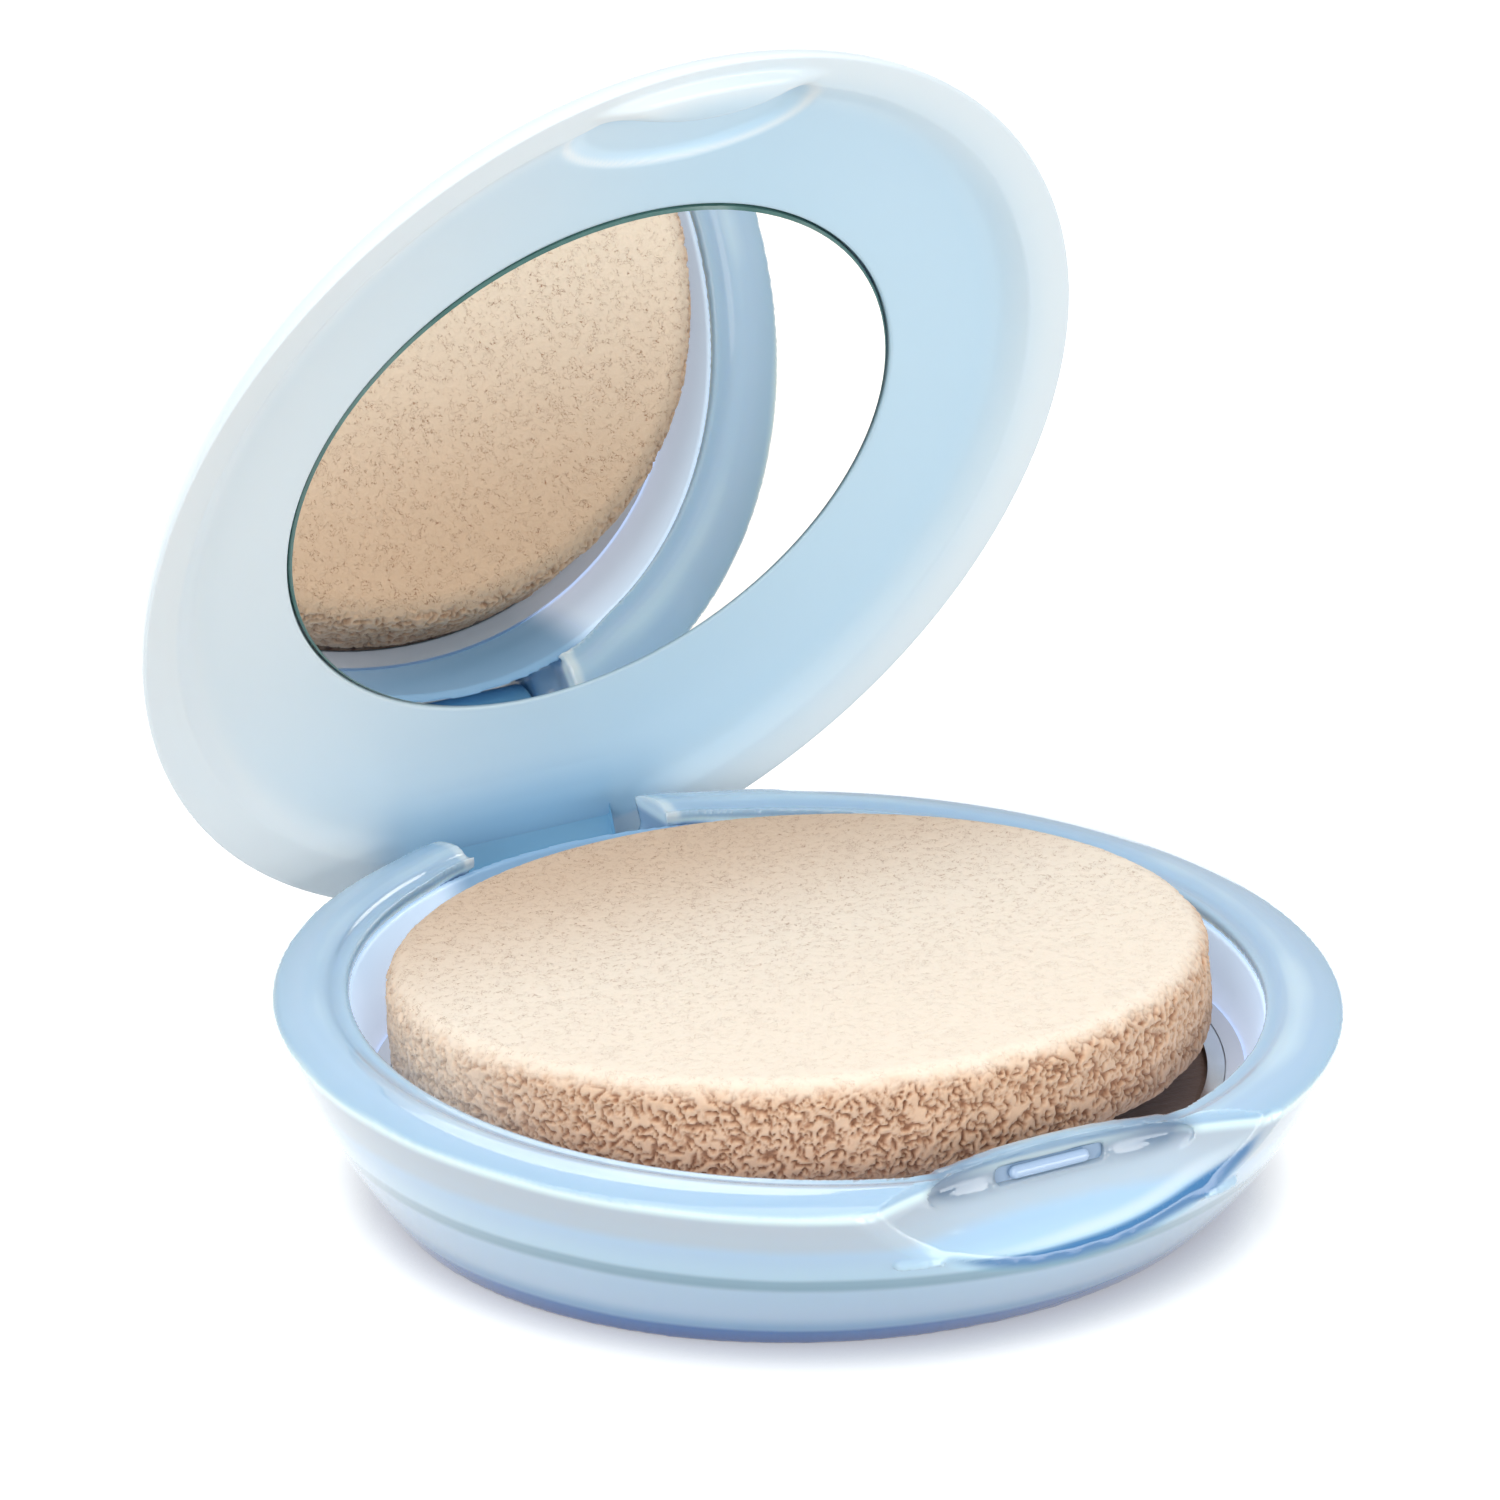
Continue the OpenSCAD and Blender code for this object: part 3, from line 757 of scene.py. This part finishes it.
def lid_moulding():
    """Outer dome and dished inner face of the lid, in one closed form around the mirror seat."""
    columns = LID_COLUMNS
    angle = np.linspace(0, 2 * math.pi, columns, endpoint=False)
    cos, sin = np.cos(angle), np.sin(angle)

    def seat_ring(radius, z):
        return np.stack([radius * cos, radius * sin, np.full(columns, z)], axis=1)

    # Rows from the middle of the mirror's seat, out over the lower face, round the edge and up the dome.
    rows = [seat_ring(r, MIRROR_SEAT) for r in (6, 14, 21, MIRROR_SEAT_RADIUS - SEAT_EDGE)]
    rows.append(seat_ring(MIRROR_SEAT_RADIUS, MIRROR_SEAT - SEAT_EDGE))
    lip = np.stack([MIRROR_SEAT_RADIUS * cos, MIRROR_SEAT_RADIUS * sin], axis=1)
    lip_height = inner_height(lip[:, 0], lip[:, 1])
    for share in (0.4, 0.8, 0.95):
        z = MIRROR_SEAT - SEAT_EDGE + (lip_height + 0.08 - MIRROR_SEAT + SEAT_EDGE) * share
        rows.append(np.column_stack([lip, z]))
    start = (MIRROR_SEAT_RADIUS + 0.1) * np.stack([cos, sin], axis=1)
    end = np.stack([(RIM_HALF_WIDTH - 0.3) * cos, (RIM_HALF_DEPTH - 0.3) * sin], axis=1)
    for share in np.linspace(0, 1, 72):
        place = start + (end - start) * share
        rows.append(np.column_stack([place, inner_height(place[:, 0], place[:, 1])]))
    for inset, z in ((0.12, LID_EDGE + 0.03), (0.03, LID_EDGE + 0.12), (0.0, LID_EDGE + 0.35)):
        rows.append(np.column_stack([(RIM_HALF_WIDTH - inset) * cos, (RIM_HALF_DEPTH - inset) * sin,
                                     np.full(columns, z)]))
    for rise in np.linspace(0.06, 1.5, 44):
        flat = math.cos(rise)
        rows.append(np.column_stack([RIM_HALF_WIDTH * flat * cos, RIM_HALF_DEPTH * flat * sin,
                                     np.full(columns, LID_EDGE + LID_RISE * math.sin(rise))]))
    points, faces = ring_faces(np.array(rows))
    ob = make_object("lid_moulding", opened(points), faces, LID_PLASTIC)
    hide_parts("lid_shell", "lid_frame")
    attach(ob, "lid")
    painted_light, shade = lid_paint(*points.T)
    paint(ob, "painted_light", painted_light)
    paint(ob, "shade", shade)


def lid_knuckle():
    """The arm that runs from the lid's dish down to the hinge barrel."""
    barrel = [(35.4, 8.5), (35.47, 7.2), (36.3, 6.05), (37.62, 5.6), (38.95, 6.05), (39.77, 7.3)]
    back = [(40.1, 9.5), (40.0, 12), (39.8, 15.0), (38.4, 15.9), (36.6, 16.3), (35.8, 16.3)]
    front = [(36.9, 15.3), (37.4, 14.5), (37.6, 13.6), (37.45, 12.6), (36.9, 11.2), (36.1, 9.9)]
    profile = np.array(barrel + back + front)
    fine = soft_outline(profile, 8)
    half = BARREL_HALF_WIDTH
    rings = []
    for x, inset in ((-half, 0.3), (-half + 0.09, 0.09), (-half + 0.3, 0), (half - 0.3, 0),
                     (half - 0.09, 0.09), (half, 0.3)):
        middle = fine.mean(axis=0)
        away = fine - middle
        length = np.linalg.norm(away, axis=1, keepdims=True)
        place = middle + away * (1 - inset / length)
        flare = 1 + (KNUCKLE_FLARE / half - 1) * smooth(13.2, 15.0, place[:, 1])
        rings.append(np.column_stack([x * flare, place]))
    points, faces = ring_faces(np.array(rings))
    points[-2, 0] = -half
    points[-1, 0] = half
    ob = make_object("lid_knuckle", opened(points), faces, LID_PLASTIC)
    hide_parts("lid_frame")
    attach(ob, "lid")
    paint(ob, "shade", np.ones(len(ob.data.vertices)))


def soft_outline(points, steps):
    """A closed outline rounded through its points."""
    before = np.roll(points, 1, 0)
    after = np.roll(points, -1, 0)
    second = np.roll(points, -2, 0)
    slope = after - before
    bend = 2 * before - 5 * points + 4 * after - second
    twist = 3 * points - before - 3 * after + second
    out = []
    for t in np.linspace(0, 1, steps, endpoint=False):
        out.append(0.5 * (2 * points + slope * t + bend * t ** 2 + twist * t ** 3))
    return np.array(out).transpose(1, 0, 2).reshape(-1, 2)


lid_moulding()
lid_knuckle()


# ---------------------------------------------------------------- sponge
SPONGE_COLUMNS = 1300
SPONGE_PIT = 0.36
# The direction from which light falls on the sponge's torn side: painted light makes it palest there.
LIT_SIDE = np.array((-0.875, 0.484))


def foam_sponge():
    """A cut disc of foam: flat smooth faces and sides torn into pits and worms."""
    columns = SPONGE_COLUMNS
    angle = np.linspace(0, 2 * math.pi, columns, endpoint=False)
    half = SPONGE_THICKNESS / 2
    inner = SPONGE_RADIUS - SPONGE_ROUND
    # Rows from the middle of the lower face to the middle of the upper one: radius, height, the way the
    # surface faces (outwards and up), and how far it is torn.
    profile = [(r, -half, 0, -1, 1) for r in np.linspace(1, inner, 14, endpoint=False)]
    for a in np.linspace(0, math.pi / 2, 22, endpoint=False):
        profile.append((inner + SPONGE_ROUND * math.sin(a), -half + SPONGE_ROUND * (1 - math.cos(a)),
                        math.sin(a), -math.cos(a), 1))
    for z in np.linspace(-half + SPONGE_ROUND, half - SPONGE_ROUND, 28, endpoint=False):
        profile.append((SPONGE_RADIUS, z, 1, 0, 1))
    for a in np.linspace(0, math.pi / 2, 22, endpoint=False):
        profile.append((inner + SPONGE_ROUND * math.cos(a), half - SPONGE_ROUND * (1 - math.sin(a)),
                        math.cos(a), math.sin(a), 1 - a / (math.pi / 2)))
    profile += [(r, half, 0, 1, 0) for r in np.linspace(inner, 1, 60)]
    r, z, out, up, torn = (np.array(v)[:, None] for v in zip(*profile))
    points = np.stack([r * np.cos(angle), r * np.sin(angle), z + 0 * angle], axis=-1).reshape(-1, 3)
    normal = np.stack([out * np.cos(angle), out * np.sin(angle), up + 0 * angle], axis=-1).reshape(-1, 3)
    torn = (torn + 0 * angle).reshape(-1)
    # Ridges of the coarse noise are the pits, and the fine noise breaks them into short worms.
    warp = 0.5 * np.stack([gradient_noise(points * 1.1, k) for k in (1, 2, 3)], axis=1)
    coarse = gradient_noise((points + warp) * 1.35, 4)
    fine = gradient_noise((points + warp) * 2.6, 5)
    lump = gradient_noise(points * 0.35, 6)
    edge = gradient_noise(points * 0.9, 7)
    side = smooth(0.22, 0.9, torn + 0.2 * edge)
    pit = (1 - smooth(0.0, 0.2, np.abs(coarse))) * smooth(-0.28, 0.1, fine)
    pit = np.clip(pit + 0.5 * (1 - smooth(0, 0.12, np.abs(fine))) * smooth(-0.15, 0.25, coarse), 0, 1)
    depth = side * (SPONGE_PIT * pit + 0.10 * fine - 0.05) - 0.25 * lump * side + 0.03 * (1 - side) * fine
    points = points - normal * depth[:, None]
    tip = np.array(Matrix.Rotation(-SPONGE_TIP, 3, "X"))
    points = points @ tip.T + SPONGE_CENTRE
    points, faces = ring_faces(points.reshape(len(profile), columns, 3))
    ob = make_object("foam_sponge", points, faces, FOAM)
    toward_light = points[:-2, :2] @ LIT_SIDE
    # Painted light: the torn tan fades towards the cut face's cream on the lit side.
    paint(ob, "side", np.append(side * (1 - 0.55 * smooth(16, 28, toward_light)), (1, 0)))
    paint(ob, "pit_shade", np.append(pit * side, (0, 0)))
    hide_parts("sponge")
    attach(ob, "sponge")
    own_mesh(ob)


foam_sponge()

# ---------------------------------------------------------------- floor, light and camera
# The floor's size is in millimetres, and the rest in metres and watts.
FLOOR_HALF = 6000
FLOOR_GREY = 0.5
# Painted contact shadow: the floor's glow close under the object, against its glow in the open.
GLOW_UNDER_OBJECT = 0.32
GLOW_IN_OPEN = 0.92
SHADOW_REACH = 0.006
SKY_LIGHT = 0.72
LAMP_AIM = Vector((0, 0, 0.02))
PHOTO_PIXELS = 1500
FOCAL_PIXELS = 9954
SENSOR_WIDTH = 36
VIEW_CENTRE = Vector((3.91, 14.32, 27.52)) * MM
VIEW_DISTANCE = 0.7334
VIEW_AZIMUTH = math.radians(-28.98)
VIEW_ELEVATION = math.radians(21.03)
VIEW_ROLL = math.radians(-1.544)

corners = [(x * FLOOR_HALF, y * FLOOR_HALF, 0) for x, y in ((-1, -1), (1, -1), (1, 1), (-1, 1))]
floor = make_object("floor", corners, [(0, 1, 2, 3)], LID_PLASTIC)


def floor_white():
    """A sheet that looks white but lights the object as a light neutral tone, with a painted contact shadow
    where its glow drops close under the object.
    """
    m = Mat("floor_white")
    path = m.node("ShaderNodeLightPath")
    seen = m.math("MAXIMUM", path.outputs["Is Camera Ray"],
                  m.math("MAXIMUM", path.outputs["Is Glossy Ray"], path.outputs["Is Transmission Ray"]))
    shader = m.surface((FLOOR_GREY, FLOOR_GREY, FLOOR_GREY), 0.16, Specular_IOR_Level=0.3)
    # The glow dims close under the object: a painted contact shadow.
    near = m.node("ShaderNodeAmbientOcclusion")
    near.samples = 8
    near.inputs["Distance"].default_value = SHADOW_REACH
    glow = m.node("ShaderNodeEmission")
    glow.inputs["Color"].default_value = (1, 1, 1, 1)
    level = m.span(near.outputs["AO"], 0.1, 0.9, GLOW_UNDER_OBJECT, GLOW_IN_OPEN)
    m.put(glow.inputs["Strength"], m.math("MULTIPLY", seen, level))
    both = m.node("ShaderNodeAddShader")
    m.put(both.inputs[0], shader.outputs[0])
    m.put(both.inputs[1], glow.outputs[0])
    m.put(m.out.inputs["Surface"], both.outputs[0])
    return m.material


floor.data.materials[0] = floor_white()


def studio_world():
    """Even light from all round, which the camera sees as white."""
    world = bpy.data.worlds.new("studio")
    scene.world = world
    world.use_nodes = True
    tree = world.node_tree
    tree.nodes.clear()
    out = tree.nodes.new("ShaderNodeOutputWorld")
    sky = tree.nodes.new("ShaderNodeBackground")
    path = tree.nodes.new("ShaderNodeLightPath")
    level = tree.nodes.new("ShaderNodeMix")
    level.inputs[2].default_value = SKY_LIGHT
    level.inputs[3].default_value = 1.0
    tree.links.new(path.outputs["Is Camera Ray"], level.inputs[0])
    tree.links.new(level.outputs[0], sky.inputs["Strength"])
    tree.links.new(sky.outputs[0], out.inputs["Surface"])


def soft_lamp(name, place, size, power):
    """A rectangular lamp, in metres and watts, aimed at the middle of the object."""
    lamp = bpy.data.lights.new(name, "AREA")
    lamp.shape = "RECTANGLE"
    lamp.size, lamp.size_y = size
    lamp.energy = power
    ob = bpy.data.objects.new(name, lamp)
    scene.collection.objects.link(ob)
    ob.location = place
    aim = LAMP_AIM - Vector(place)
    ob.rotation_euler = aim.to_track_quat("-Z", "Y").to_euler()


def photo_camera():
    """A long lens that looks down at the compact from its front left."""
    away = math.cos(VIEW_ELEVATION)
    back = Vector((math.sin(VIEW_AZIMUTH) * away, -math.cos(VIEW_AZIMUTH) * away, math.sin(VIEW_ELEVATION)))
    right = Vector((math.cos(VIEW_AZIMUTH), math.sin(VIEW_AZIMUTH), 0))
    up = back.cross(right)
    side = math.cos(VIEW_ROLL) * right + math.sin(VIEW_ROLL) * up
    top = -math.sin(VIEW_ROLL) * right + math.cos(VIEW_ROLL) * up
    camera = bpy.data.objects.new("camera", bpy.data.cameras.new("camera"))
    scene.collection.objects.link(camera)
    turn = Matrix((side, top, back)).transposed().to_4x4()
    camera.matrix_world = Matrix.Translation(VIEW_CENTRE + back * VIEW_DISTANCE) @ turn
    camera.data.sensor_fit = "HORIZONTAL"
    camera.data.sensor_width = SENSOR_WIDTH
    camera.data.lens = FOCAL_PIXELS / PHOTO_PIXELS * SENSOR_WIDTH
    camera.data.clip_start = 0.01
    camera.data.clip_end = 50
    scene.camera = camera


studio_world()
soft_lamp("key", (-0.55, -0.25, 0.75), (0.8, 0.8), 3.0)
soft_lamp("front", (0.5, -0.95, 0.15), (0.9, 0.35), 4.3)
soft_lamp("left", (-0.85, -0.55, 0.3), (0.6, 0.4), 2.6)
soft_lamp("top", (0.0, 0.15, 0.9), (0.9, 0.7), 3.0)
photo_camera()
scene.view_settings.view_transform = "Standard"
